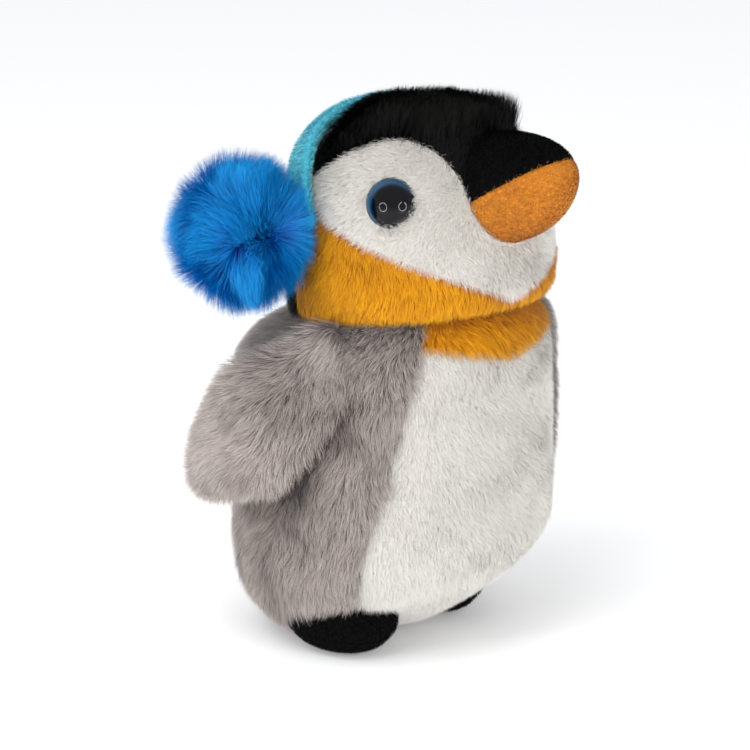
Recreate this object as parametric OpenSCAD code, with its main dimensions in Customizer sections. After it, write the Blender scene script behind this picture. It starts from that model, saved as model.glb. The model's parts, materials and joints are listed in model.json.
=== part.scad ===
// Small sewn plush penguin chick wearing fluffy ear muffs.
// Millimetres, +Z up, the face looks along -Y. The origin is the middle of the
// flat patch under the body, on the surface that the toy stands on.

/* [Body] */
// Radius of the round body, pile pressed flat
body_r = 35; // [31:0.5:37]
// Radius of the flat patch that the body stands on
base_r = 17; // [14:0.5:20]
// Height of the seam between body and head
neck_z = 77; // [74:0.5:80]
// Radius of the rounded shoulder edge
shoulder_r = 13; // [9:0.5:15]
// Thickness of a sewn fabric panel with its pressed pile
wall = 1.4; // [1:0.1:2]

/* [Head] */
// Radius of the round head, pile pressed flat
head_r = 27.5; // [26:0.5:28.5]
// Height of the centre of the head's dome
head_z = 98; // [97:0.5:100]
// How far the head sits in front of the body's axis
head_forward = 8; // [5:0.5:9]
// Radius of the rounded jaw edge above the neck seam
jaw_r = 6.5; // [5:0.5:9]

/* [Beak] */
// Radius of the beak where it meets the face
beak_r = 12; // [10:0.5:13]
// Length of the beak from its root inside the face
beak_len = 28; // [25:0.5:32]
// Upward tilt of the beak in degrees
beak_tilt = 15; // [10:1:22]

/* [Eyes] */
// Diameter of an eye
eye_d = 11; // [9:0.5:12]
// Angle of an eye from straight ahead, in degrees
eye_turn = 60; // [56:1:64]
// Angle of an eye above the centre of the head, in degrees
eye_rise = 18; // [12:1:20]

/* [Ear muffs] */
// Radius of a pompom, its fibres lightly pressed
pompom_r = 15.5; // [13:0.5:16.5]
// Angle of a pompom from straight ahead, in degrees
pompom_turn = 109; // [105:1:114]
// Distance from the head's centre to a pompom's centre
pompom_reach = 43.5; // [43:0.5:46]
// Width of the headband
band_w = 7; // [5:0.5:9]
// Thickness of the headband
band_t = 2; // [1.5:0.1:2.5]

/* [Wings] */
// Length of a wing from shoulder to tip
wing_len = 52; // [46:1:54]
// Width of a wing
wing_w = 25; // [22:1:30]
// Thickness of a wing
wing_t = 7; // [5:0.5:8]
// Angle of a wing's middle from straight ahead, in degrees
wing_turn = 97; // [90:1:104]
// How far the wing's tip leans towards the back, in degrees
wing_sweep = 41; // [34:1:46]

/* [Feet] */
// Width of a foot along the body's side
foot_w = 25; // [22:1:28]
// Depth of a foot, most of it under the body
foot_d = 22; // [20:1:26]
// Height of a foot pouch
foot_h = 18; // [16:0.5:21]
// Angle of a foot from straight ahead, in degrees
foot_turn = 78; // [66:1:84]
// Distance of a foot's centre from the body's axis
foot_reach = 22.5; // [21:0.5:25]

/* [Hidden] */
$fn = 96;

// Colours of the fabrics and parts
grey_fur = [0.62, 0.58, 0.56];
white_fur = [0.87, 0.86, 0.83];
orange_fur = [0.86, 0.57, 0.10];
black_fur = [0.06, 0.06, 0.07];
ochre_felt = [0.77, 0.48, 0.15];
turquoise = [0.30, 0.75, 0.82];
blue_fibre = [0.01, 0.42, 0.72];
fill_white = [0.94, 0.94, 0.92];
iris_blue = [0.12, 0.25, 0.36];

// Half the width of a seam between two panels, and the gap between loose pieces
seam = 0.08;
gap = 0.4;
// A size larger than the whole toy, for cutting
big = 300;

belly_z = sqrt(body_r * body_r - base_r * base_r);
shoulder_z = neck_z - shoulder_r;
base_panel_r = base_r + 4;

// Seam between grey back and white belly: a plane that leans back as it goes down
side_seam_y = -29;
side_seam_z = 73;
side_seam_lean = 15;
// Lower edge of the orange chest panel
chest_z = 68;

head_floor = neck_z + gap;
head_at = [0, -head_forward, head_z];
// Seams of the head, measured from the centre of the dome
crown_seam_z = 17.5;
crown_seam_lean = 24;
peak_half_w = 9.5;
peak_floor = 7;
cheek_seam_z = 1.5;
cheek_seam_lean = 24;
nape_y = 12.5;

beak_root = [0, -18, 8.6];
// Seam between the halves of the beak: a plane that rises more steeply than the beak
beak_seam_at = [0, -32, 11.6];
beak_seam_tilt = 25;
beak_wall = 1.2;
beak_steps = 20;

eye_r = eye_d / 2;
eye_seat = head_r - 0.8;
eye_back_t = 1;
eye_dome_h = 3.6;
shank_r = 1.8;
shank_len = 9;
washer_r = 5.5;
washer_t = 1.2;
washer_seat = head_r - wall - washer_t - 1.2;

pompom_rise = 1;
band_lean = 23;
band_at = [0, -head_r * cos(pompom_turn) - 1, head_r * sin(pompom_rise)];
band_drop = 6;

pompom_face = head_r + band_t + 1.8;
tie_r = 2.2;
tie_gap = 0.1;

wing_z = 54;
wing_wall = 1.2;
wing_in = body_r + gap + 0.3;
wing_mid = wing_in + wing_t / 2;

foot_wall = 1.3;
foot_split = 4;

// ---- shared forms ----

// Everything on one side of a plane: z above h, leaned about X by the angle lean
module above(h, lean = 0) {
    translate([0, 0, h])
        rotate([lean, 0, 0])
            translate([-big / 2, -big / 2, 0])
                cube(big);
}

// Everything with x on the given side (1 or -1) of the middle seam
module side(s) {
    translate([s > 0 ? seam : -seam - big, -big / 2, -big / 2])
        cube(big);
}

// Body with every surface moved in by the inset t
module body_form(t) {
    rotate_extrude()
        intersection() {
            translate([0, t])
                square([body_r + big, neck_z - 2 * t]);
            translate([0, -big])
                square([big, 2 * big]);
            union() {
                translate([0, belly_z])
                    circle(r = body_r - t);
                translate([0, belly_z])
                    square([body_r - t, shoulder_z - belly_z]);
                translate([body_r - shoulder_r, shoulder_z])
                    circle(r = shoulder_r - t);
                translate([0, shoulder_z])
                    square([body_r - shoulder_r, shoulder_r - t]);
            }
        }
}

module body_shell() {
    difference() {
        body_form(0);
        body_form(wall);
    }
}

// The part of space in front of the side seams, moved by m
module front_of_body(m) {
    translate([0, side_seam_y + m, side_seam_z])
        rotate([side_seam_lean, 0, 0])
            translate([-big / 2, -big, -big / 2])
                cube(big);
}

module base_zone(r) {
    translate([0, 0, -1])
        cylinder(r = r, h = belly_z / 2);
}

// Head with every surface moved in by the inset t: a dome on a short barrel
module head_form(t) {
    translate([0, -head_forward, 0])
        rotate_extrude()
            intersection() {
                translate([0, head_floor + t])
                    square([big, big]);
                union() {
                    translate([0, head_z])
                        circle(r = head_r - t);
                    translate([0, head_floor + jaw_r])
                        square([head_r - t, head_z - head_floor - jaw_r]);
                    translate([head_r - jaw_r, head_floor + jaw_r])
                        circle(r = jaw_r - t);
                    translate([0, head_floor + t])
                        square([head_r - jaw_r, jaw_r]);
                }
            }
}

module head_shell() {
    difference() {
        head_form(0);
        head_form(wall);
        for (s = [-1, 1])
            eye_place(s)
                eye_hole();
    }
}

// The part of the head covered by the black crown, grown by m
module crown_zone(m) {
    translate(head_at) {
        above(crown_seam_z - m, -crown_seam_lean);
        translate([-peak_half_w - m, -big - 2, peak_floor - m])
            cube([2 * (peak_half_w + m), big, big]);
    }
}

// The part of the head below the seam between white cheek and orange band, lowered by m
module band_zone(m) {
    translate(head_at)
        rotate([0, 180, 0])
            above(-cheek_seam_z + m, -cheek_seam_lean);
}

// The part of the head behind the headband, moved back by m
module nape_zone(m) {
    translate(head_at + [-big / 2, nape_y + m, -big / 2])
        cube(big);
}

// Places its children with +Z pointing out of the head at an eye
module eye_place(s) {
    translate(head_at)
        rotate([0, 0, s * eye_turn])
            rotate([90 - eye_rise, 0, 0])
                children();
}

// Room that an eye needs in the panel
module eye_hole() {
    translate([0, 0, eye_seat - gap / 4])
        cylinder(r = eye_r + gap / 4, h = head_r);
    translate([0, 0, eye_seat - shank_len])
        cylinder(r = shank_r + gap / 4, h = head_r);
}

// Places its children with +Z pointing out along the beak
module beak_place() {
    translate(head_at + beak_root)
        rotate([90 - beak_tilt, 0, 0])
            children();
}

// Round blunt beak, its surface moved in by the inset t
function beak_radius(u) = pow(1 - pow(u, 2.7), 0.5);
module beak_form(t) {
    rotate_extrude()
        polygon(concat([[0, 0]], [for (i = [0:beak_steps])
            let (u = i / beak_steps)
                [(beak_r - t) * beak_radius(u), (beak_len - t) * u]]));
}

// Oval outline of a wing, drawn out sideways from the body's axis
module wing_outline(s, t) {
    rotate([0, 0, s * wing_turn])
        translate([0, 0, wing_z])
            rotate([0, -s * wing_sweep, 0])
                scale([(wing_w / 2 - t) / 10, 1, (wing_len / 2 - t) / 10])
                    rotate([90, 0, 0])
                        cylinder(r = 10, h = big / 4);
}

// Oval paddle of a wing that curves round the body, its surface moved in by the inset t
module wing_form(s, t) {
    intersection() {
        wing_outline(s, t);
        difference() {
            cylinder(r = wing_in + wing_t - t, h = big / 2);
            translate([0, 0, -1])
                cylinder(r = wing_in + t, h = big / 2 + 2);
        }
    }
}

module foot_place(s) {
    rotate([0, 0, s * foot_turn])
        translate([0, -foot_reach, foot_h / 2])
            children();
}

// Rounded pouch of a foot, its surface moved in by the inset t
module foot_form(t) {
    scale([(foot_w / 2 - t) / 10, (foot_d / 2 - t) / 10, (foot_h / 2 - t) / 10])
        sphere(r = 10);
}

// Places its children with +Z pointing from the head's centre through a pompom
module pompom_place(s) {
    translate(head_at)
        rotate([0, 0, s * pompom_turn])
            rotate([90 - pompom_rise, 0, 0])
                children();
}

// ---- body ----

module body_stuffing() {
    color(fill_white)
        body_form(wall + seam);
}

module belly_panel() {
    color(white_fur)
        difference() {
            intersection() {
                body_shell();
                front_of_body(-seam);
            }
            above(chest_z - seam);
            base_zone(base_panel_r + seam);
        }
}

module chest_panel() {
    color(orange_fur)
        intersection() {
            body_shell();
            front_of_body(-seam);
            above(chest_z + seam);
        }
}

module back_panel(s) {
    color(grey_fur)
        difference() {
            intersection() {
                body_shell();
                side(s);
            }
            front_of_body(seam);
            base_zone(base_panel_r + seam);
        }
}

module base_panel() {
    color(grey_fur)
        intersection() {
            body_shell();
            base_zone(base_panel_r - seam);
        }
}

// ---- feet ----

module foot_shell(s) {
    difference() {
        foot_place(s)
            difference() {
                foot_form(0);
                foot_form(foot_wall);
            }
        body_form(-seam);
    }
}

module foot_upper(s) {
    color(black_fur)
        intersection() {
            foot_shell(s);
            above(foot_split + seam);
        }
}

module foot_sole(s) {
    color(black_fur)
        difference() {
            foot_shell(s);
            above(foot_split - seam);
        }
}

module foot_stuffing(s) {
    color(fill_white)
        difference() {
            foot_place(s)
                foot_form(foot_wall + seam);
            body_form(-seam);
        }
}

// ---- head ----

module head_stuffing() {
    color(fill_white)
        difference() {
            head_form(wall + seam);
            for (s = [-1, 1])
                eye_place(s) {
                    translate([0, 0, eye_seat - shank_len - gap])
                        cylinder(r = shank_r + gap / 4, h = head_r);
                    translate([0, 0, washer_seat - gap])
                        cylinder(r = washer_r + gap / 2, h = head_r);
                }
        }
}

module crown_panel() {
    color(black_fur)
        difference() {
            intersection() {
                head_shell();
                crown_zone(-seam);
            }
            nape_zone(-seam);
        }
}

module back_head_panel() {
    color(black_fur)
        intersection() {
            head_shell();
            nape_zone(seam);
        }
}

module face_panel(s) {
    color(white_fur)
        difference() {
            intersection() {
                head_shell();
                side(s);
            }
            crown_zone(seam);
            band_zone(-seam);
            nape_zone(-seam);
        }
}

module neck_band(s) {
    color(orange_fur)
        difference() {
            intersection() {
                head_shell();
                side(s);
                band_zone(seam);
            }
            nape_zone(-seam);
        }
}

// ---- beak ----

module beak_shell() {
    difference() {
        beak_place()
            difference() {
                beak_form(0);
                beak_form(beak_wall);
            }
        head_form(-seam);
    }
}

// The part of the beak above its middle seam (up = 1) or below it (up = -1)
module beak_half(up) {
    intersection() {
        beak_shell();
        translate(head_at + beak_seam_at)
            rotate([-beak_seam_tilt, 0, 0])
                translate([-big / 2, -big / 2, up > 0 ? seam : -seam - big])
                    cube(big);
    }
}

module beak_upper() {
    color(black_fur)
        beak_half(1);
}

module beak_lower() {
    color(ochre_felt)
        beak_half(-1);
}

module beak_stuffing() {
    color(fill_white)
        difference() {
            beak_place()
                beak_form(beak_wall + seam);
            head_form(-seam);
        }
}

// ---- eyes ----

module eye_dome(s) {
    dome_r = (eye_r * eye_r + eye_dome_h * eye_dome_h) / (2 * eye_dome_h);
    color([0.9, 0.95, 1, 0.4])
        eye_place(s)
            intersection() {
                translate([0, 0, eye_seat + eye_back_t + eye_dome_h - dome_r])
                    sphere(r = dome_r);
                translate([0, 0, eye_seat + eye_back_t])
                    cylinder(r = eye_r, h = eye_dome_h + 1);
            }
}

module eye_back(s) {
    color(iris_blue)
        eye_place(s) {
            translate([0, 0, eye_seat])
                cylinder(r = eye_r, h = eye_back_t);
            translate([0, 0, eye_seat - shank_len])
                cylinder(r = shank_r, h = shank_len + eye_back_t / 2);
        }
}

module eye_washer(s) {
    color(fill_white)
        eye_place(s)
            translate([0, 0, washer_seat])
                difference() {
                    cylinder(r = washer_r, h = washer_t);
                    translate([0, 0, -1])
                        cylinder(r = shank_r + 0.05, h = washer_t + 2);
                }
}

// ---- ear muffs ----

module headband() {
    color(turquoise)
        intersection() {
            difference() {
                head_form(-band_t);
                head_form(-seam);
            }
            translate(head_at + band_at)
                rotate([-band_lean, 0, 0])
                    translate([-big / 2, -band_w / 2, -band_drop])
                        cube([big, band_w, big]);
        }
}

module pompom(s) {
    color(blue_fibre)
        pompom_place(s)
            difference() {
                translate([0, 0, pompom_reach])
                    sphere(r = pompom_r);
                translate([0, 0, pompom_face - big])
                    cylinder(r = big, h = big);
                cylinder(r = tie_r + tie_gap, h = pompom_reach + tie_r + tie_gap);
            }
}

module pompom_tie(s) {
    color(turquoise)
        pompom_place(s)
            translate([0, 0, head_r + band_t + gap])
                cylinder(r = tie_r, h = pompom_reach + tie_r - head_r - band_t - gap);
}

// ---- wings ----

module wing_shell(s) {
    difference() {
        wing_form(s, 0);
        wing_form(s, wing_wall);
    }
}

// The side of the wing away from the body
module wing_outer(s) {
    color(grey_fur)
        difference() {
            wing_shell(s);
            cylinder(r = wing_mid + seam, h = big);
        }
}

// The side of the wing next to the body
module wing_lining(s) {
    color(grey_fur)
        intersection() {
            wing_shell(s);
            cylinder(r = wing_mid - seam, h = big);
        }
}

module wing_stuffing(s) {
    color(fill_white)
        wing_form(s, wing_wall + seam);
}

body_stuffing();
belly_panel();
chest_panel();
back_panel(1);  // back_panel_left
back_panel(-1);  // back_panel_right
base_panel();
foot_upper(1);  // foot_upper_left
foot_upper(-1);  // foot_upper_right
foot_sole(1);  // foot_sole_left
foot_sole(-1);  // foot_sole_right
foot_stuffing(1);  // foot_stuffing_left
foot_stuffing(-1);  // foot_stuffing_right
head_stuffing();
crown_panel();
back_head_panel();
face_panel(1);  // face_panel_left
face_panel(-1);  // face_panel_right
neck_band(1);  // neck_band_left
neck_band(-1);  // neck_band_right
beak_upper();
beak_lower();
beak_stuffing();
eye_dome(1);  // eye_dome_left
eye_dome(-1);  // eye_dome_right
eye_back(1);  // eye_back_left
eye_back(-1);  // eye_back_right
eye_washer(1);  // eye_washer_left
eye_washer(-1);  // eye_washer_right
headband();
wing_outer(1);  // wing_outer_left
wing_outer(-1);  // wing_outer_right
wing_lining(1);  // wing_lining_left
wing_lining(-1);  // wing_lining_right
wing_stuffing(1);  // wing_stuffing_left
wing_stuffing(-1);  // wing_stuffing_right
pompom(1);  // pompom_left
pompom(-1);  // pompom_right
pompom_tie(1);  // pompom_tie_left
pompom_tie(-1);  // pompom_tie_right
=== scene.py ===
"""Looks of the plush penguin with ear muffs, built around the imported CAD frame."""

import json
import math

import bmesh
import bpy
import numpy as np
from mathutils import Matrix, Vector, kdtree


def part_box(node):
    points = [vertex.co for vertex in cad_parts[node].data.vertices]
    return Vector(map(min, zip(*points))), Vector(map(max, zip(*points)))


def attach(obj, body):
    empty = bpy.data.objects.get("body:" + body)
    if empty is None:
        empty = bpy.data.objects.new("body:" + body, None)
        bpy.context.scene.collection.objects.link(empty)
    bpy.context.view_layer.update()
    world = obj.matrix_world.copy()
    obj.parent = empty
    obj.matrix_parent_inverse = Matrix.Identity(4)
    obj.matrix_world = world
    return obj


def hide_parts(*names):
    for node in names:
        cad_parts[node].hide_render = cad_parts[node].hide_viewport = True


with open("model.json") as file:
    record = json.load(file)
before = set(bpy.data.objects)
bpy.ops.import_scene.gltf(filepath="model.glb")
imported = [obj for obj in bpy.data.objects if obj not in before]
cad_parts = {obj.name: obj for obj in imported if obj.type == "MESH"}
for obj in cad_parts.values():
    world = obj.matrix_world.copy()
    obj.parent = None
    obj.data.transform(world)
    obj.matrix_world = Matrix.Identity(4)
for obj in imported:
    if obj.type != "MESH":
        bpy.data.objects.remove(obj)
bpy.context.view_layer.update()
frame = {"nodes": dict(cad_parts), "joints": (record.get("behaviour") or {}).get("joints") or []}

# Lengths in this script are millimetres until a mesh is written
MM = 0.001
DEG = math.pi / 180
UP = np.array([0.0, 0.0, 1.0])

SIDES = {"left": 1, "right": -1}
joints = {joint["name"]: joint for joint in frame["joints"]}


def corners(node):
    """Lowest and highest corner of a CAD node, in millimetres."""
    low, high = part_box(node)
    return np.array(low) / MM, np.array(high) / MM


# ---- sizes taken from the frame ----
NECK = np.array(joints["head_turn"]["pos_m"]) / MM
BODY_R = corners("back_panel_left")[1][0]
BODY_MID = BODY_R * 0.875
HEAD_R = corners("face_panel_left")[1][0]
HEAD = np.array([0.0, NECK[1], corners("crown_panel")[1][2] - HEAD_R])
FLOOR_CLEAR = 0.25
PIECE_FACES = 180000


# ---- small helpers ----
def unit(v):
    return v / np.maximum(np.linalg.norm(v, axis=-1, keepdims=True), 1e-9)


def dot(a, b):
    return np.sum(a * b, axis=-1, keepdims=True)


def ramp(x, low, high):
    """Smooth step from 0 at low to 1 at high."""
    t = np.clip((x - low) / (high - low), 0, 1)
    return t * t * (3 - 2 * t)


def power(x, exponent):
    """Power that keeps the sign."""
    return np.sign(x) * np.abs(x) ** exponent


def bump(x, width):
    return np.exp(-((x / width) ** 2))


def field(p, wave, seed):
    """Smooth noise between about -1 and 1 with the given wavelength."""
    rng = np.random.default_rng(seed)
    total = np.zeros(p.shape[:-1])
    for _ in range(7):
        direction = unit(rng.normal(size=3)) * rng.uniform(0.6, 1.6)
        total += np.sin(p @ direction * (2 * math.pi / wave) + rng.uniform(0, 6.3))
    return total / 3.2


def turned(p, centre):
    """Degrees from the front, either way, round the vertical through centre."""
    return np.abs(np.arctan2(p[..., 0] - centre[0], -(p[..., 1] - centre[1]))) / DEG


def nearest(points, targets):
    """Index of the closest target to each point, and the distance to it."""
    tree = kdtree.KDTree(len(targets))
    for k, p in enumerate(targets):
        tree.insert(p, k)
    tree.balance()
    found = [tree.find(p) for p in points]
    return np.array([f[1] for f in found]), np.array([f[2] for f in found])


def add_object(name, data):
    thing = bpy.data.objects.new(name, data)
    bpy.context.scene.collection.objects.link(thing)
    return thing


# ---- skins ----
class Skin:
    """A triangle mesh held as arrays of points, normals and faces."""

    def __init__(self, points, normals, faces):
        self.points, self.normals, self.faces = points, normals, faces

    def part(self, keep):
        """The faces picked by keep, as a skin of its own."""
        faces = self.faces[keep]
        used, index = np.unique(faces, return_inverse=True)
        return Skin(self.points[used], self.normals[used], index.reshape(-1, 3))

    def centres(self):
        return self.points[self.faces].mean(axis=1)

    def rim(self):
        """Points on the open border."""
        edges = np.sort(self.faces[:, [0, 1, 1, 2, 2, 0]].reshape(-1, 2), axis=1)
        pairs, count = np.unique(edges, axis=0, return_counts=True)
        return self.points[np.unique(pairs[count == 1])]

    def seamed(self, depth, width, puff=0.0, reach=6.0):
        """Pulls the border in along its seam and lets the middle swell."""
        rim = self.rim()
        if not len(rim):
            return self
        away = nearest(self.points, rim)[1][:, None]
        shift = puff * (1 - bump(away, reach)) - depth * bump(away, width)
        return Skin(self.points + self.normals * shift, self.normals, self.faces)


def surface(shape, rows, cols, planes=()):
    """Skin over shape(u, a): u runs 0 to 1 between two poles, a goes round; planes cut it."""
    u, a = np.meshgrid(np.linspace(0, 1, rows), np.arange(cols) * (2 * math.pi) / cols, indexing="ij")
    points = shape(u, a).reshape(-1, 3)
    bm = bmesh.new()
    verts = [bm.verts.new(p) for p in points]
    for i in range(rows - 1):
        for j in range(cols):
            k = (j + 1) % cols
            ring = [i * cols + j, (i + 1) * cols + j, (i + 1) * cols + k, i * cols + k]
            bm.faces.new([verts[n] for n in ring])
    bmesh.ops.remove_doubles(bm, verts=bm.verts[:], dist=0.002)
    for at, facing in planes:
        parts = bm.verts[:] + bm.edges[:] + bm.faces[:]
        bmesh.ops.bisect_plane(bm, geom=parts, dist=1e-4, plane_co=at, plane_no=facing)
    bmesh.ops.recalc_face_normals(bm, faces=bm.faces[:])
    bmesh.ops.triangulate(bm, faces=bm.faces[:])
    bm.normal_update()
    bm.verts.index_update()
    points = np.array([v.co for v in bm.verts])
    normals = np.array([v.normal for v in bm.verts])
    faces = np.array([[v.index for v in f.verts] for f in bm.faces])
    bm.free()
    centre = points.mean(axis=0)
    outward = np.mean(np.sum((points - centre) * normals, axis=1))
    if outward < 0:
        normals, faces = -normals, faces[:, ::-1]
    return Skin(points, normals, faces)


def cut(skin, value):
    """Splits faces along the line where value(points) is zero."""
    v = value(skin.points)
    v = np.where(np.abs(v) < 1e-5, 1e-5, v)
    above = v[skin.faces] > 0
    count = above.sum(axis=1)
    crossed = (count == 1) | (count == 2)
    faces, above = skin.faces[crossed], above[crossed]
    lone = np.argmax(above == (above.sum(axis=1) == 1)[:, None], axis=1)
    turn = (lone[:, None] + np.arange(3)[None]) % 3
    a, b, c = np.take_along_axis(faces, turn, axis=1).T
    ends = np.sort(np.concatenate([np.stack([a, b], 1), np.stack([a, c], 1)]), axis=1)
    pairs, index = np.unique(ends, axis=0, return_inverse=True)
    index = index.ravel() + len(skin.points)
    share = (v[pairs[:, 0]] / (v[pairs[:, 0]] - v[pairs[:, 1]]))[:, None]
    added = [data[pairs[:, 0]] * (1 - share) + data[pairs[:, 1]] * share
             for data in (skin.points, skin.normals)]
    ab, ac = index[:len(a)], index[len(a):]
    fresh = [np.stack(f, axis=1) for f in ((a, ab, ac), (ab, b, c), (ab, c, ac))]
    return Skin(np.concatenate([skin.points, added[0]]),
                unit(np.concatenate([skin.normals, added[1]])),
                np.concatenate([skin.faces[~crossed]] + fresh))


def write_mesh(name, points, faces, normals=None, attributes=None, uv=None):
    """A mesh object in metres from arrays; faces are triangles."""
    mesh = bpy.data.meshes.new(name)
    count = len(faces)
    mesh.vertices.add(len(points))
    mesh.vertices.foreach_set("co", (points * MM).astype(np.float32).ravel())
    mesh.loops.add(count * 3)
    mesh.loops.foreach_set("vertex_index", faces.astype(np.int32).ravel())
    mesh.polygons.add(count)
    mesh.polygons.foreach_set("loop_start", np.arange(0, count * 3, 3, dtype=np.int32))
    mesh.polygons.foreach_set("use_smooth", np.ones(count, dtype=bool))
    for key, values in (attributes or {}).items():
        layer = mesh.attributes.new(key, "FLOAT", "POINT")
        layer.data.foreach_set("value", values.astype(np.float32).ravel())
    if uv is not None:
        layer = mesh.uv_layers.new(name="OFBake")
        layer.data.foreach_set("uv", uv[faces.ravel()].astype(np.float32).ravel())
    mesh.update()
    if normals is not None:
        layer = mesh.attributes.new("custom_normal", "FLOAT_VECTOR", "POINT")
        layer.data.foreach_set("vector", normals.astype(np.float32).ravel())
        mesh.update()
    return add_object(name, mesh)


def finish_piece(piece, material, body):
    piece.data.materials.append(material)
    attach(piece, body)


def skin_piece(name, skin, material, body, node):
    """A stuffed piece that stands for a CAD node."""
    piece = write_mesh(name, skin.points, skin.faces)
    finish_piece(piece, material, body)
    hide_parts(node)


# ---- pile ----
# Degrees by which the lift of single hairs, at root and tip, and of guide hairs varies
LIFT_SPREAD, GUIDE_SPREAD = (12, 9), 7


def roots(skin, density, rng, share=None):
    """Evenly scattered root points with normals; share(points) from 0 to 1 thins them."""
    tri = skin.points[skin.faces]
    area = np.linalg.norm(np.cross(tri[:, 1] - tri[:, 0], tri[:, 2] - tri[:, 0]), axis=1) / 2
    total = np.cumsum(area * density)
    count = int(total[-1])
    pick = np.searchsorted(total, (np.arange(count) + rng.random(count)) / count * total[-1])
    pick = np.minimum(pick, len(area) - 1)
    a = np.sqrt(rng.random((count, 1)))
    b = rng.random((count, 1))
    weights = np.concatenate([1 - a, a * (1 - b), a * b], axis=1)[:, :, None]
    at = (tri[pick] * weights).sum(axis=1)
    out = unit((skin.normals[skin.faces][pick] * weights).sum(axis=1))
    if share is not None:
        keep = rng.random(count) < share(at)
        at, out = at[keep], out[keep]
    return at, out


def comb(at, out, flow, sway, jitter, rng, seed):
    """Direction of the nap in the skin at each root, with slow waves and per-hair noise."""
    along = flow(at, out)
    along = unit(along - out * dot(along, out))
    angle = sway * field(at, 16, seed) + sway * 0.5 * field(at, 6, seed + 1)
    angle = (angle + jitter * rng.normal(size=len(at)))[:, None]
    return along * np.cos(angle) + np.cross(out, along) * np.sin(angle)


def hair_lines(at, out, along, length, lift, segments):
    """Points along each hair, which rises at the angle lift[0] and lies down to lift[1]."""
    line = [at]
    for k in range(segments):
        s = (k + 0.5) / segments
        angle = lift[0] + (lift[1] - lift[0]) * s
        step = along * np.cos(angle) + out * np.sin(angle)
        line.append(line[-1] + step * length / segments)
    return np.stack(line, axis=1)


def ribbons(name, line, out, width, rng, shade, roll=0.9, taper=0.85):
    """Flat tapered hairs along the lines, as one mesh."""
    count, steps, _ = line.shape
    segments = steps - 1
    tangent = unit(np.gradient(line, axis=1))
    up = np.repeat(out[:, None, :], steps, axis=1)
    sideways = unit(np.cross(tangent, up + 0.15 * np.cross(up, tangent[:, :1]) + 0.01))
    tilt = rng.uniform(-roll, roll, size=count)[:, None, None]
    sideways = sideways * np.cos(tilt) + np.cross(tangent, sideways) * np.sin(tilt)
    s = np.linspace(0, 1, steps)[None, :, None]
    half = width[:, None, None] / 2 * (1 - taper * s**2)
    left = (line - sideways * half)[:, :-1]
    right = (line + sideways * half)[:, :-1]
    tip = line[:, -1:]
    points = np.concatenate([np.stack([left, right], axis=2).reshape(count, -1, 3), tip], axis=1)
    each = 2 * segments + 1
    faces = []
    for k in range(segments - 1):
        a = 2 * k
        faces += [[a, a + 1, a + 3], [a, a + 3, a + 2]]
    a = 2 * (segments - 1)
    faces.append([a, a + 1, a + 2])
    faces = np.array(faces)[None] + (np.arange(count) * each)[:, None, None]
    soft = unit(up - tangent * dot(up, tangent) * 0.8 + 0.18 * rng.normal(size=(count, 1, 3)))
    normals = np.concatenate([np.repeat(soft[:, :-1], 2, axis=1), soft[:, -1:]], axis=1)
    place = np.concatenate([np.repeat(np.linspace(0, 1, steps)[:-1], 2), [1.0]])
    grid = math.ceil(math.sqrt(count))
    cell = np.arange(count)
    u = (cell % grid)[:, None] + np.append(np.tile([0.2, 0.8], segments), 0.5)[None]
    v = (cell // grid)[:, None] + (0.1 + 0.8 * place)[None]
    uv = np.stack([u, v], axis=2).reshape(-1, 2) / grid
    attributes = {"along": np.tile(place, count), "shade": np.repeat(shade, each)}
    flat = points.reshape(-1, 3)
    flat[:, 2] = np.maximum(flat[:, 2], FLOOR_CLEAR)
    return write_mesh(name, flat, faces.reshape(-1, 3), normals.reshape(-1, 3), attributes, uv)


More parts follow.
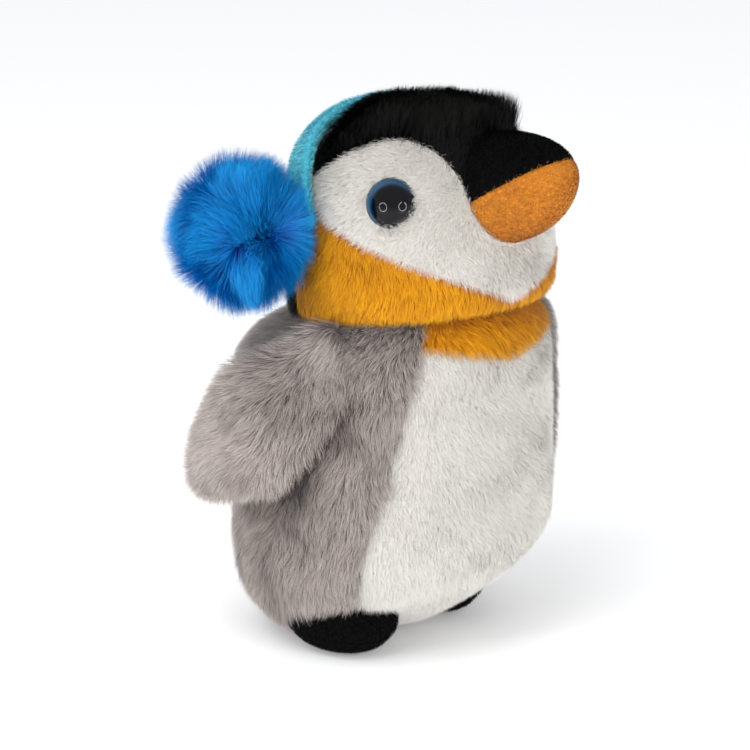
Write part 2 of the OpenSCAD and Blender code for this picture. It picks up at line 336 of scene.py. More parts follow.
def pile(name, skin, material, body, slot, seed, density, length, flow, lift=(70, 15), width=0.13,
         tuft=0.5, clump=0.6, sway=0.25, jitter=0.2, segments=3, share=None, stretch=None,
         shadow=None, lift_of=None, trim=None, blur=0.35):
    """Grows pile on a skin and writes it as pieces that ride on body.

    Density is in hairs per square millimetre and tuft in guide hairs; clump is how far the hairs
    follow their guide, sway and jitter turn the nap, and share, stretch, shadow, lift_of and trim
    vary the pile from place to place.
    """
    rng = np.random.default_rng(seed)
    guide_at, guide_out = roots(skin, tuft, rng)
    at, out = roots(skin, density, rng, share)
    drift = rng.normal(size=at.shape) * blur
    at = at + drift - out * dot(drift, out)
    long_guide = length * rng.uniform(0.85, 1.15, size=(len(guide_at), 1))
    long_hair = length * rng.uniform(0.7, 1.1, size=(len(at), 1))
    if stretch is not None:
        long_guide = long_guide * stretch(guide_at)[:, None]
        long_hair = long_hair * stretch(at)[:, None]
    hair_lift = [(angle + rng.normal(size=(len(at), 1)) * spread) * DEG
                 for angle, spread in zip(lift, LIFT_SPREAD)]
    extra = rng.normal(size=(len(guide_at), 1)) * GUIDE_SPREAD
    guide_lift = [(angle + extra) * DEG for angle in lift]
    if lift_of is not None:
        hair_lift = [angle + lift_of(at)[:, None] * DEG for angle in hair_lift]
        guide_lift = [angle + lift_of(guide_at)[:, None] * DEG for angle in guide_lift]
    guide_along = comb(guide_at, guide_out, flow, sway, jitter * 0.7, rng, seed)
    along = comb(at, out, flow, sway, jitter, rng, seed)
    guide = hair_lines(guide_at, guide_out, guide_along, long_guide, guide_lift, segments)
    line = hair_lines(at, out, along, long_hair, hair_lift, segments)
    mine = nearest(at, guide_at)[0]
    s = (np.linspace(0, 1, segments + 1) ** 1.3)[None, :, None]
    offset = (at - guide_at[mine])[:, None, :] * (1 - 0.75 * s)
    amount = clump * rng.uniform(0.55, 1.0, size=(len(at), 1, 1)) * s
    line = line + amount * (guide[mine] + offset - line)
    if trim is not None:
        line = at[:, None, :] + (line - at[:, None, :]) * trim(at, line[:, -1])[:, None, None]
    tuft_shade = rng.uniform(0, 1, size=len(guide_at))[mine]
    shade = 0.5 * rng.random(len(at)) + 0.3 * tuft_shade + 0.2 * (0.5 + 0.5 * field(at, 9, seed + 5))
    # Painted shade: shadow darkens the shade attribute, which the pile material turns into darker hair
    # colour
    if shadow is not None:
        shade = shade * shadow(at)
    thick = width * rng.uniform(0.75, 1.2, size=len(at))
    write_hairs(name, line, out, thick, rng, shade, 0.9, material, body)


def write_hairs(name, line, out, thick, rng, shade, roll, material, body):
    """Writes hairs as several pieces of moderate size."""
    each = 2 * (line.shape[1] - 1) - 1
    chunks = math.ceil(len(line) * each / PIECE_FACES)
    for k in range(chunks):
        pick = slice(k * len(line) // chunks, (k + 1) * len(line) // chunks)
        label = name if chunks == 1 else f"{name}_{k + 1}"
        piece = ribbons(label, line[pick], out[pick], thick[pick], rng, shade[pick], roll)
        finish_piece(piece, material, body)


# ---- materials ----
WHITE = (1, 1, 1, 1)


def srgb(r, g, b):
    """Linear colour from 0-255 screen values."""
    def one(c):
        c = c / 255
        return c / 12.92 if c <= 0.04045 else ((c + 0.055) / 1.055) ** 2.4
    return (one(r), one(g), one(b), 1.0)


class Look:
    """A procedural material: its nodes, its links and its shader."""

    def __init__(self, name, roughness, specular=0.3, sheen=0.0):
        self.material = bpy.data.materials.new(name)
        self.material.use_nodes = True
        self.nodes, self.links = self.material.node_tree.nodes, self.material.node_tree.links
        self.shader = self.nodes["Principled BSDF"]
        self.set("Roughness", roughness)
        self.set("Specular IOR Level", specular)
        self.set("Sheen Weight", sheen)

    def set(self, socket, value, node=None):
        """Gives a socket of the shader, or of node, a value or another node's output."""
        socket = (node or self.shader).inputs[socket]
        if isinstance(value, bpy.types.NodeSocket):
            self.links.new(value, socket)
        else:
            socket.default_value = value

    def node(self, kind, inputs=(), **settings):
        node = self.nodes.new("ShaderNode" + kind)
        for key, value in settings.items():
            setattr(node, key, value)
        for socket, value in inputs:
            self.set(socket, value, node)
        return node

    def maths(self, operation, *values):
        return self.node("Math", enumerate(values), operation=operation).outputs[0]

    def vector(self, operation, *values):
        node = self.node("VectorMath", enumerate(values), operation=operation)
        return node.outputs["Value" if operation in ("DOT_PRODUCT", "LENGTH") else "Vector"]

    def attribute(self, name):
        return self.node("Attribute", attribute_name=name).outputs["Fac"]

    def place(self):
        return self.node("TexCoord").outputs["Object"]

    def ramp(self, factor, *stops):
        node = self.node("ValToRGB", [("Fac", factor)])
        elements = node.color_ramp.elements
        while len(elements) < len(stops):
            elements.new(0.5)
        for element, (place, colour) in zip(elements, stops):
            element.position = place
            element.color = colour
        return node.outputs["Color"]

    def noise(self, scale, detail=3.0, rough=0.5):
        """Noise in the piece's own coordinates; scale is in features per metre."""
        sockets = [("Vector", self.place()), ("Scale", scale), ("Detail", detail), ("Roughness", rough)]
        return self.node("TexNoise", sockets).outputs["Fac"]

    def mix(self, factor, a, b, mode="MIX"):
        sockets = [("Factor", factor), ("A", a), ("B", b)]
        return self.node("Mix", sockets, data_type="RGBA", blend_type=mode).outputs["Result"]

    def relief(self, height, strength, distance):
        sockets = [("Strength", strength), ("Distance", distance), ("Height", height)]
        self.set("Normal", self.node("Bump", sockets).outputs["Normal"])


def pile_material(name, root, middle, tip, dark, light=WHITE, finish=(0.65, 0.25, 0.25), patch=90,
                  patch_amount=0.5):
    """Pile coloured from root to tip; dark and light are the ends of the hair-to-hair spread.

    The finish is roughness, specular level and sheen.
    """
    look = Look(name, *finish)
    length = look.ramp(look.attribute("along"), (0.0, srgb(*root)), (0.45, srgb(*middle)), (1.0, srgb(*tip)))
    blotch = look.maths("MULTIPLY_ADD", look.noise(patch, 2.0), patch_amount, look.attribute("shade"))
    # Mostly painted shade: the deepest stop, below dark, colours hairs whose shade a pile's shadow has
    # darkened, and also the rare darkest hairs of the random spread
    deep_tone_and_shade = tuple(c * 0.45 for c in dark)
    spread = look.ramp(look.maths("SUBTRACT", blotch, patch_amount * 0.5),
                       (0.0, (*deep_tone_and_shade, 1)), (0.14, (*dark, 1)), (1.0, light))
    look.set("Base Color", look.mix(1.0, length, spread, "MULTIPLY"))
    return look.material


def backing_material(name, low, high, scale=1400, strength=0.5, sheen=0.2):
    """Knitted backing under the pile, matt and slightly blotchy."""
    look = Look(name, 0.9, 0.15, sheen)
    look.set("Base Color", look.ramp(look.noise(scale, 4.0, 0.6), (0.3, srgb(*low)), (0.7, srgb(*high))))
    look.relief(look.noise(scale * 1.7), strength, 0.0003)
    return look.material


def felt_material(name, low, high, fleck, scale=900):
    """Napped felt: mottled colour, pale flecks of lint and a fine woolly relief."""
    look = Look(name, 0.9, 0.08)
    colour = look.ramp(look.noise(scale, 5.0, 0.65), (0.35, srgb(*low)), (0.65, srgb(*high)))
    lint = look.ramp(look.noise(scale * 2.3, 2.0), (0.66, (0, 0, 0, 1)), (0.74, WHITE))
    look.set("Base Color", look.mix(lint, colour, srgb(*fleck)))
    look.relief(look.noise(scale * 1.5, 5.0, 0.7), 0.7, 0.0004)
    return look.material


def plastic_material(name, colour, roughness):
    look = Look(name, roughness, 0.5)
    base = srgb(*colour)
    paler = tuple(min(1.0, c * 1.12) for c in base)
    look.set("Base Color", look.ramp(look.noise(700), (0.3, base), (0.7, paler)))
    return look.material


def eye_material(name, centre, right, up, pupil_shift):
    """Domed eye: dark rim, blue iris with fine rays and a large pupil set forward and low."""
    look = Look(name, 0.03, 0.22)
    from_centre = look.vector("SUBTRACT", look.place(), tuple(centre * MM))

    def distance(x, y):
        """Distance across the dome from the point x, y; its rim is at 1."""
        flat = look.node("CombineXYZ", [
            (k, look.vector("DOT_PRODUCT", from_centre, tuple(way / (EYE_R * MM))))
            for k, way in enumerate((right, up))])
        return look.vector("LENGTH", look.vector("SUBTRACT", flat.outputs[0], (x, y, 0.0)))

    black = srgb(5, 5, 8)
    rays = look.maths("MULTIPLY_ADD", look.noise(1600, 3.0, 0.6), 0.14, distance(*pupil_shift))
    iris = look.ramp(rays, (0.0, black), (0.84, black), (0.90, srgb(10, 26, 40)), (1.0, srgb(32, 66, 92)))
    rim = look.ramp(distance(0.0, 0.0), (0.0, WHITE), (0.92, WHITE), (1.0, (0.15, 0.17, 0.2, 1)))
    look.set("Base Color", look.mix(1.0, iris, rim, "MULTIPLY"))
    return look.material


white_pile = pile_material("white_pile", (218, 213, 205), (232, 229, 223), (241, 239, 234),
                           (0.93, 0.925, 0.92), finish=(0.85, 0.15, 0.3))
white_back = backing_material("white_backing", (212, 207, 199), (224, 219, 211))
grey_pile = pile_material("grey_pile", (92, 82, 80), (160, 149, 145), (228, 219, 213),
                          (0.58, 0.55, 0.54), (1.0, 0.99, 0.98, 1), (0.6, 0.25, 0.25), patch_amount=0.7)
grey_back = backing_material("grey_backing", (62, 55, 54), (92, 83, 80))
orange_pile = pile_material("orange_pile", (200, 102, 0), (236, 158, 4), (250, 190, 26),
                            (0.68, 0.6, 0.42), finish=(0.6, 0.2, 0.1))
orange_back = backing_material("orange_backing", (172, 88, 2), (200, 112, 4))
black_pile = pile_material("black_pile", (2, 2, 2), (9, 9, 9), (27, 26, 24),
                           (0.3, 0.3, 0.3), finish=(0.5, 0.1, 0.0))
black_back = backing_material("black_backing", (3, 3, 3), (8, 8, 8), sheen=0.0)
velboa_pile = pile_material("velboa_pile", (2, 2, 2), (7, 7, 8), (20, 20, 21),
                            (0.5, 0.5, 0.5), finish=(0.7, 0.05, 0.0))
velboa_back = backing_material("velboa_backing", (2, 2, 3), (7, 7, 8), sheen=0.0)
band_pile = pile_material("band_pile", (55, 180, 205), (92, 216, 234), (150, 238, 247),
                          (0.85, 0.92, 0.94), finish=(0.7, 0.25, 0.25))
band_back = backing_material("band_backing", (60, 170, 195), (90, 195, 212))
muff_pile = pile_material("muff_pile", (0, 50, 150), (0, 112, 214), (0, 178, 240),
                          (0.5, 0.6, 0.8), finish=(0.4, 0.3, 0.0))
muff_core = backing_material("muff_core", (0, 40, 130), (0, 66, 170))
felt_black = felt_material("beak_black_felt", (2, 2, 3), (8, 8, 9), (26, 25, 26))
felt_ochre = felt_material("beak_ochre_felt", (165, 90, 20), (206, 128, 44), (226, 166, 88))
fuzz_black = pile_material("beak_black_fuzz", (3, 3, 4), (9, 9, 10), (26, 26, 27),
                           (0.4, 0.4, 0.4), finish=(0.85, 0.03, 0.0))
fuzz_ochre = pile_material("beak_ochre_fuzz", (160, 92, 18), (204, 134, 44), (228, 176, 88),
                           (0.62, 0.56, 0.48), finish=(0.85, 0.15, 0.1), patch=260, patch_amount=0.9)
fill_fibre = backing_material("filling", (225, 224, 220), (240, 240, 237), 500, 0.9)
thread = backing_material("tie_thread", (20, 120, 165), (40, 150, 195), 2500, 0.8)


# ---- body ----
def zones(u, low, mid):
    """A quarter turn up to low, a share from low to mid and a quarter turn from mid to 1."""
    quarter = math.pi / 2
    return (np.clip(u / low, 0, 1) * quarter, np.clip((u - low) / (mid - low), 0, 1),
            np.clip((u - mid) / (1 - mid), 0, 1) * quarter)


def pick_zone(u, low, mid, first, second, third):
    """One value up to low, another up to mid and a third beyond."""
    return np.where(u <= low, first, np.where(u <= mid, second, third))


# The belly's underside rises in front and sets back, and the flanks dip a little under the wings
FRONT_LIFT, SET_BACK, WAIST = 10, 2.2, 0.022


def body_shape(u, a):
    """Pear-shaped body: u from the base (0) to the neck (1), a round the axis from the front."""
    front = (1 + np.cos(a)) / 2
    low, mid = 0.46, 0.60
    shoulder = BODY_MID + (NECK[2] - BODY_MID) * 0.68
    top = NECK[2] + 7.4 * front**1.5 - 0.5
    belly = 2 / (3.1 - 1.3 * front)
    neck = 2 / (2.0 + 3.2 * front**3)
    t, m, k = zones(u, low, mid)
    r = pick_zone(u, low, mid, np.sin(t) ** belly, 1.0, np.cos(k) ** neck)
    z = pick_zone(u, low, mid, BODY_MID * (1 - np.cos(t) ** belly), BODY_MID + (shoulder - BODY_MID) * m,
                  shoulder + (top - shoulder) * np.sin(k) ** neck)
    sink = np.clip(1 - z / BODY_MID, 0, 1)
    z = z + FRONT_LIFT * ramp(np.cos(a), -0.5, 0.8) * r * sink
    skin_r = BODY_R - 0.4 - 1.0 * (1 - front)
    x, y = r * skin_r * np.sin(a), -r * skin_r * np.cos(a)
    y = y + SET_BACK * sink
    side = np.abs(np.sin(a))
    dip = 1 - WAIST * bump(z - 50, 14) * side**4
    return np.stack([x * dip, y, z + 0.5], axis=-1)


MIDDLE = np.zeros(3)
# The side seam's turn from the front at SEAM_Z, and how it and the chest seam lean
SIDE_SEAM, SEAM_Z, SEAM_LEAN = 61, 21, 0.47
CHEST_Z, CHEST_LEAN = corners("belly_panel")[1][2] + 4.0, 0.1
BASE_R, BASE_Z = corners("base_panel")[1][0], 2.2


def over_side_seam(p):
    """Positive in front of the seam that runs up each flank."""
    return SIDE_SEAM - SEAM_LEAN * (p[..., 2] - SEAM_Z) - turned(p, MIDDLE)


def over_chest_seam(p):
    """Positive above the lower edge of the orange chest patch."""
    return p[..., 2] - CHEST_Z - CHEST_LEAN * turned(p, MIDDLE)


back_seam = (MIDDLE, (1, 0, 0))
body_skin = surface(body_shape, 96, 132, [((0, 0, BASE_Z), UP), back_seam])
body_skin = cut(cut(body_skin, over_side_seam), over_chest_seam)


def beyond(points, plane):
    return (points - np.array(plane[0])) @ np.array(plane[1]) > 0


c = body_skin.centres()
is_front = over_side_seam(c) > 0
is_base = (np.hypot(c[:, 0], c[:, 1]) < BASE_R) & (c[:, 2] < BASE_Z)
is_chest = is_front & (over_chest_seam(c) > 0) & ~is_base
panels = {
    "base_panel": is_base,
    "chest_panel": is_chest,
    "belly_panel": is_front & ~is_chest & ~is_base,
    "back_panel_left": ~is_front & (c[:, 0] > 0) & ~is_base,
    "back_panel_right": ~is_front & (c[:, 0] <= 0) & ~is_base,
}
parts = {key: body_skin.part(mask).seamed(0.8, 1.0, 0.3) for key, mask in panels.items()}


def downward(at, out):
    return -UP + out * 0


def body_flow(at, out):
    """Down the body, spreading a little off the shoulders."""
    around = np.cross(UP, out) * np.sign(at[:, :1])
    return -UP * 1.0 - 0.15 * around + 0.1 * out


WING_SWEEP, WING_TURN, WING_LEN, WING_WIDE = 41 * DEG, 97 * DEG, 52.0, 25.0
WING_Z = (corners("wing_outer_left")[0][2] + corners("wing_outer_left")[1][2]) / 2
WING_R = math.hypot(*joints["wing_lift_left"]["pos_m"][:2]) / MM


def on_wing(sign, across, along, out):
    """Point of a wing: across towards the back, along towards the tip, out from the body."""
    back = across * math.cos(WING_SWEEP) + along * math.sin(WING_SWEEP)
    down = along * math.cos(WING_SWEEP) - across * math.sin(WING_SWEEP)
    angle = WING_TURN + back / WING_R
    r = WING_R + out
    return np.stack([sign * r * np.sin(angle), -r * np.cos(angle), WING_Z - down], axis=-1)


def wing_place(at, sign):
    """The across and along of points near a wing."""
    angle = np.arctan2(sign * at[:, 0], -at[:, 1])
    back, down = (angle - WING_TURN) * WING_R, WING_Z - at[:, 2]
    across = back * math.cos(WING_SWEEP) - down * math.sin(WING_SWEEP)
    along = back * math.sin(WING_SWEEP) + down * math.cos(WING_SWEEP)
    return across, along


# Each cloth: its backing, its pile, its slot and how the pile grows
GREY = (grey_back, grey_pile, "grey_plush",
        {"density": 15, "length": 5.6, "flow": body_flow, "lift": (66, 18), "width": 0.085, "tuft": 0.9,
         "clump": 0.5, "sway": 0.45, "jitter": 0.32})
GREY_BASE = (grey_back, grey_pile, "grey_plush",
             {"density": 5, "length": 2, "flow": lambda at, out: at * [1, 1, 0], "lift": (30, 5)})
WHITE_PLUSH = (white_back, white_pile, "white_plush",
               {"density": 30, "length": 2.5, "flow": downward, "lift": (64, 30), "width": 0.075,
                "tuft": 1.2, "clump": 0.25, "sway": 0.35, "jitter": 0.6, "segments": 2, "blur": 0.5})
ORANGE = (orange_back, orange_pile, "orange_plush",
          {"density": 19, "length": 3.4, "flow": downward, "lift": (58, 14), "width": 0.09, "tuft": 0.9,
           "clump": 0.5, "sway": 0.3, "jitter": 0.28})
BLACK = (black_back, black_pile, "black_plush",
         {"density": 18, "length": 4.4, "lift": (55, 26), "width": 0.09, "tuft": 1.1, "clump": 0.6,
          "sway": 0.5, "jitter": 0.35, "blur": 0.8})
VELBOA = (velboa_back, velboa_pile, "black_velboa",
          {"density": 13, "length": 1.1, "flow": downward, "lift": (65, 25), "width": 0.13, "tuft": 1.5,
           "clump": 0.3, "sway": 0.3, "jitter": 0.5, "segments": 2})


def sew(node, skin, cloth, body, seed, fill=0.9, grown=None, nap="pile", **changes):
    """A panel of cloth: its backing, and the nap that grows on it or on the skin in grown."""
    back, hairs, slot, style = cloth
    skin_piece(node + "_skin", skin, back, body, node)
    pile(f"{node}_{nap}", grown or skin, hairs, body, slot, seed, **{**style, **changes})


def not_underneath(at):
    """Pile is pressed away where the body stands on the floor."""
    return ramp(at[:, 2], 1.0, 6.0) * 0.85 + 0.15


def back_length(at):
    """Shorter on the shoulders and under a wing, longer where it hangs over the feet."""
    shoulder = ramp(at[:, 2], 58, 70)
    fringe = bump(at[:, 2] - 15, 6) * ramp(np.abs(at[:, 0]), 12, 24)
    return not_underneath(at) * (1 - 0.25 * shoulder + 0.05 * fringe) * (1 - 0.6 * wing_fold(at))


def belly_length(at):
    """Longer where it hangs over the feet."""
    return not_underneath(at) * (1 + 1.0 * bump(at[:, 2] - 14, 6) * ramp(np.abs(at[:, 0]), 14, 24))


# Where the fold lies and where painted shade darkens the flank, from a wing's middle line towards the back
FOLD_AT, SHADED_FLANK_AT = -12.5, -19


def wing_fold(at, wide=3.6, start=-34, full=-20):
    """1 in the fold along the front edge of a wing."""
    across, along = wing_place(at, np.sign(at[:, 0]))
    return bump(across - FOLD_AT, wide) * ramp(along, start, full) * ramp(-along, -24, -4)


def painted_wing_shade(at):
    """Painted shade: darker in the fold and on the flank beside it."""
    across, along = wing_place(at, np.sign(at[:, 0]))
    flank = bump(across - SHADED_FLANK_AT, 10) * ramp(along, -38, -18)
    return (1 - 0.97 * wing_fold(at, 5, -32, -16)) * (1 - 0.5 * flank)


# Grey back panels, with painted shade in the fold and on the flank under each wing
for n, side in enumerate(SIDES):
    key = "back_panel_" + side
    sew(key, parts[key], GREY, "body", 100 + n, stretch=back_length, shadow=painted_wing_shade)
sew("belly_panel", parts["belly_panel"], WHITE_PLUSH, "body", 110, stretch=belly_length)
sew("chest_panel", parts["chest_panel"], ORANGE, "body", 120)
sew("base_panel", parts["base_panel"], GREY_BASE, "body", 121, fill=0.8)


def filling(name, shape, rows, cols, inset, body, node):
    """Packed fibre just under a skin."""
    inner = surface(shape, rows, cols)
    inner.points = inner.points - inner.normals * inset
    skin_piece(name, inner, fill_fibre, body, node)


filling("body_filling", body_shape, 40, 56, 2.0, "body", "body_stuffing")


# ---- feet ----
# Turn from the front in degrees, distance from the middle and half width of each foot
FEET = {"left": (98, 15.6, 12.4), "right": (-87, 18.8, 14.6)}
FOOT_DEEP, FOOT_HIGH, SOLE_Z = 10.4, 8.8, 4.5


def foot_shape(side):
    turn, reach, wide = FEET[side]
    turn, half = turn * DEG, np.array([wide, FOOT_DEEP, FOOT_HIGH])
    out = np.array([math.sin(turn), -math.cos(turn), 0])
    across = np.array([math.cos(turn), math.sin(turn), 0])

    def shape(u, a):
        t = (u - 0.5) * math.pi
        ring = np.cos(t) ** 0.85
        x = half[0] * ring * np.cos(a)
        y = half[1] * ring * np.sin(a)
        z = half[2] * power(np.sin(t), 0.9)
        p = out * (reach + y[..., None]) + across * x[..., None] + UP * (half[2] + 0.4 + z[..., None])
        p[..., 2] = np.maximum(p[..., 2], 0.35)
        return p

    return shape


for n, side in enumerate(SIDES):
    shape = foot_shape(side)
    foot = surface(shape, 40, 60, [((0, 0, SOLE_Z), UP)])
    c = foot.centres()
    for part, mask in (("upper", c[:, 2] > SOLE_Z), ("sole", c[:, 2] <= SOLE_Z)):
        panel = foot.part(mask).seamed(0.45, 0.7)
        outside = panel.part(np.hypot(*panel.centres()[:, :2].T) > 14)
        sew(f"foot_{part}_{side}", panel, VELBOA, "body", 130 + n * 2 + (part == "sole"), fill=0.8,
            grown=outside)
    filling("foot_filling_" + side, shape, 20, 28, 1.4, "body", "foot_stuffing_" + side)


# ---- head ----
# The brow and the cheeks are fuller than a round head
BROW, BROW_OUT = unit(np.array([0, -0.66, 0.8])), 1.9
CHEEK_Z, CHEEK_OUT = 91, 1.3


def head_shape(u, a):
    """Dome on a short barrel: u from under the jaw (0) to the crown (1)."""
    front = (1 + np.cos(a)) / 2
    floor = NECK[2] - 1.4 + 7.0 * front**1.3
    jaw = 5.0
    low, mid = 0.26, 0.42
    opening = np.clip(u / low * 6, 0, 1)
    t, m, k = zones(u, low, mid)
    r = pick_zone(u, low, mid, (HEAD_R - jaw + jaw * np.sin(t)) * opening, HEAD_R, HEAD_R * np.cos(k))
    z = pick_zone(u, low, mid, floor + jaw * (1 - np.cos(t)) * opening,
                  floor + jaw + (HEAD[2] - floor - jaw) * m, HEAD[2] + HEAD_R * np.sin(k))
    p = np.stack([r * np.sin(a), HEAD[1] - r * np.cos(a), z], axis=-1)
    out = unit(p - HEAD)
    from_brow = np.arccos(np.clip(out @ BROW, -1, 1)) / DEG
    cheek = bump(z - CHEEK_Z, 9) * (0.35 + 0.65 * front)
    p = p + out * (BROW_OUT * bump(from_brow, 26))[..., None]
    p = p + out * [1, 1, 0] * (CHEEK_OUT * cheek)[..., None]
    return p


def over_crown(p):
    """Positive above the line where the black crown meets the white cheeks."""
    angle, height = turned(p, HEAD), p[..., 2] - HEAD[2]
    peak, peak_at, drop = 20.5, 59, 14
    side = peak - 0.0035 * np.clip(angle - peak_at, 0, None) ** 2
    front = peak - drop * (1 - np.sqrt(1 - np.clip((peak_at - angle) / 36, 0, 1) ** 2.5))
    return height - np.where(angle > peak_at, side, front)


def over_cheek(p):
    """Positive above the line where the white cheeks meet the orange neck band."""
    angle, height = turned(p, HEAD), p[..., 2] - HEAD[2]
    return height + 13.5 - 0.18 * angle


nape_seam = (HEAD + [0, 12.5, 0], np.array([0, 1.0, 0]))
head_skin = surface(head_shape, 110, 144, [nape_seam, (MIDDLE, (1, 0, 0))])
head_skin = cut(cut(head_skin, over_crown), over_cheek)
c = head_skin.centres()
is_nape = beyond(c, nape_seam)
is_crown = (over_crown(c) > 0) & ~is_nape
is_band = (over_cheek(c) < 0) & ~is_nape & ~is_crown
is_face = ~is_crown & ~is_band & ~is_nape


EYES = {side: sum(corners("eye_dome_" + side)) / 2 for side in SIDES}
EYE_R = 5.5
# The headband lies in a plane through both pompoms that leans back at the top
BAND_LEAN = 23 * DEG
BAND_UP = np.array([0, math.sin(BAND_LEAN), math.cos(BAND_LEAN)])
BAND_ACROSS = np.array([0, math.cos(BAND_LEAN), -math.sin(BAND_LEAN)])
POMPOM = np.array(joints["pompom_twist_left"]["axis"])
BAND_OFF = HEAD_R * POMPOM @ BAND_ACROSS - 1.4


def under_eye(at):
    """1 along the lower front edge of an eye, where the pile creeps over it."""
    total = np.zeros(len(at))
    for side, eye in EYES.items():
        towards = unit(at - eye)
        front = np.array([0, -0.75, -0.66])
        total += ramp(towards @ front, 0.1, 0.7) * (np.linalg.norm(at - eye, axis=1) < EYE_R + 2.2)
    return total


def off_eyes(at):
    """No pile under an eye."""
    keep = np.ones(len(at))
    for eye in EYES.values():
        keep *= np.linalg.norm(at - eye, axis=1) > EYE_R + 0.1 - 1.5 * under_eye(at)
    return keep


BEAK_ROOT = np.array([0, HEAD[1] - 22, 107.5])


def off_beak(at):
    """No pile under the beak."""
    d = at - BEAK_ROOT
    inside = (np.abs(d[:, 0]) / 10.5) ** 2 + (d[:, 2] / 11.0) ** 2 < 1
    return 1.0 - (inside & (at[:, 1] < HEAD[1] - 15))


def off_headband(at):
    d = at - HEAD
    return 1.0 - ((np.abs(d @ BAND_ACROSS - BAND_OFF) < 4.6) & (d @ BAND_UP > -6))


def face_flow(at, out):
    """White pile brushed away from the beak and down the cheeks."""
    away = 0.8 * unit((at - BEAK_ROOT) * [1, 0.2, 1]) - UP
    eye = np.where(at[:, :1] > 0, EYES["left"], EYES["right"])
    return away + under_eye(at)[:, None] * (1.6 * unit(eye - at) - away)


def face_lift(at):
    return 22 * under_eye(at)


def brow(at):
    """1 over the front of the crown, 0 behind."""
    return ramp(HEAD[1] - at[:, 1], -15, 6)


def crown_flow(at, out):
    """Up the brow in front, down both sides behind."""
    behind = np.sign(at[:, :1]) * np.array([1.0, 0, -0.2]) + np.array([0, 0.3, 0])
    return behind + brow(at)[:, None] * (UP * 1.0 - np.array([0, 0.25, 0]) - behind)


def crown_lift(at):
    """The brow pile stands upright whatever the slope under it."""
    rise = np.arcsin(np.clip(unit(at - HEAD)[:, 2], 0, 1)) / DEG
    return brow(at) * (rise - 32)


def crown_length(at):
    return 0.8 + 1.0 * ramp(HEAD[1] - at[:, 1], 0, 13)


def crown_trim(at, tip):
    """Shears the brow flat on top and square in front."""
    rng = np.random.default_rng(9)
    top = HEAD[2] + 28.1 + rng.normal(size=len(at)) * 0.5 + 0.5 * field(at, 6, 11)
    front = HEAD[1] - 21.4 + 0.35 * np.abs(at[:, 0]) - rng.exponential(0.3, size=len(at))
    high = (top - at[:, 2]) / np.maximum(tip[:, 2] - at[:, 2], 0.01)
    far = (at[:, 1] - front) / np.maximum(at[:, 1] - tip[:, 1], 0.01)
    return np.clip(np.minimum(high, np.where(tip[:, 1] < front, far, 1)), 0.3, 1)


for key, seed, mask, looks in (
        ("crown_panel", 200, is_crown, {
            "flow": crown_flow, "lift_of": crown_lift, "stretch": crown_length, "trim": crown_trim,
            "share": lambda at: off_headband(at) * off_beak(at)}),
        ("back_head_panel", 201, is_nape, {"flow": downward, "share": off_headband})):
    panel = head_skin.part(mask)
    sew(key, panel.seamed(0.6, 0.9, 0.3), BLACK, "head", seed, grown=panel, **looks)
for n, (side, sign) in enumerate(SIDES.items()):
    on_side = c[:, 0] * sign > 0
    sew("face_panel_" + side, head_skin.part(is_face & on_side), WHITE_PLUSH, "head", 210 + n,
        share=lambda at: off_eyes(at) * off_beak(at), lift_of=face_lift, flow=face_flow, length=2.3)
    sew("neck_band_" + side, head_skin.part(is_band & on_side), ORANGE, "head", 220 + n)
filling("head_filling", head_shape, 40, 56, 1.8, "head", "head_stuffing")


# ---- beak ----
BEAK_START, BEAK_END = np.array([0, HEAD[1] - 16.0, 106.6]), np.array([0, HEAD[1] - 43.6, 113.8])
BEAK_TILT = 31 * DEG


def beak_shape(u, a):
    """Blunt stuffed beak; u from the face to the tip."""
    along = BEAK_END - BEAK_START
    axis = unit(along)
    lift = np.cross([1.0, 0, 0], axis)
    lift = lift * np.sign(lift[2])
    v = 1 - (1 - u) ** 1.6
    over, under = 12.0 * (1 - v**2.3) ** 0.5, 12.6 * (1 - v**3.4) ** 0.72
    wide = 10.8 * (1 - v**2.6) ** 0.5
    height = np.where(np.sin(a) > 0, over, under) * power(np.sin(a), 0.92)
    p = BEAK_START + along * v[..., None] + lift * height[..., None]
    p[..., 0] = wide * power(np.cos(a), 0.92)
    return p


beak_seam = (HEAD + [0, -32.0, 12.8], np.array([0, math.sin(BEAK_TILT), math.cos(BEAK_TILT)]))
beak = surface(beak_shape, 60, 80, [beak_seam])
is_upper = beyond(beak.centres(), beak_seam)


def beak_flow(at, out):
    return np.array([0, -1.0, 0.2]) + out * 0


FUZZ = {"density": 16, "length": 0.75, "flow": beak_flow, "lift": (45, 20), "width": 0.11, "tuft": 2.0,
        "clump": 0.25, "sway": 1.5, "jitter": 1.2, "segments": 2}
for key, mask, felt, seed in (
        ("beak_upper", is_upper, (felt_black, fuzz_black, "black_felt", FUZZ), 300),
        ("beak_lower", ~is_upper, (felt_ochre, fuzz_ochre, "ochre_felt", FUZZ), 301)):
    sew(key, beak.part(mask).seamed(0.35, 0.5), felt, "head", seed, nap="fuzz")
filling("beak_filling", beak_shape, 24, 32, 1.3, "head", "beak_stuffing")


# ---- eyes ----
eye_looks = {}
for side, sign in SIDES.items():
    out = unit(EYES[side] - HEAD)
    right = unit(np.cross(UP, out))
    eye_looks[side] = eye_material("eye_" + side, EYES[side], right, np.cross(out, right),
                                   (-0.22 * sign, -0.16))
back_plastic = plastic_material("eye_back_plastic", (14, 16, 20), 0.4)
washer_plastic = plastic_material("washer_plastic", (225, 225, 222), 0.6)


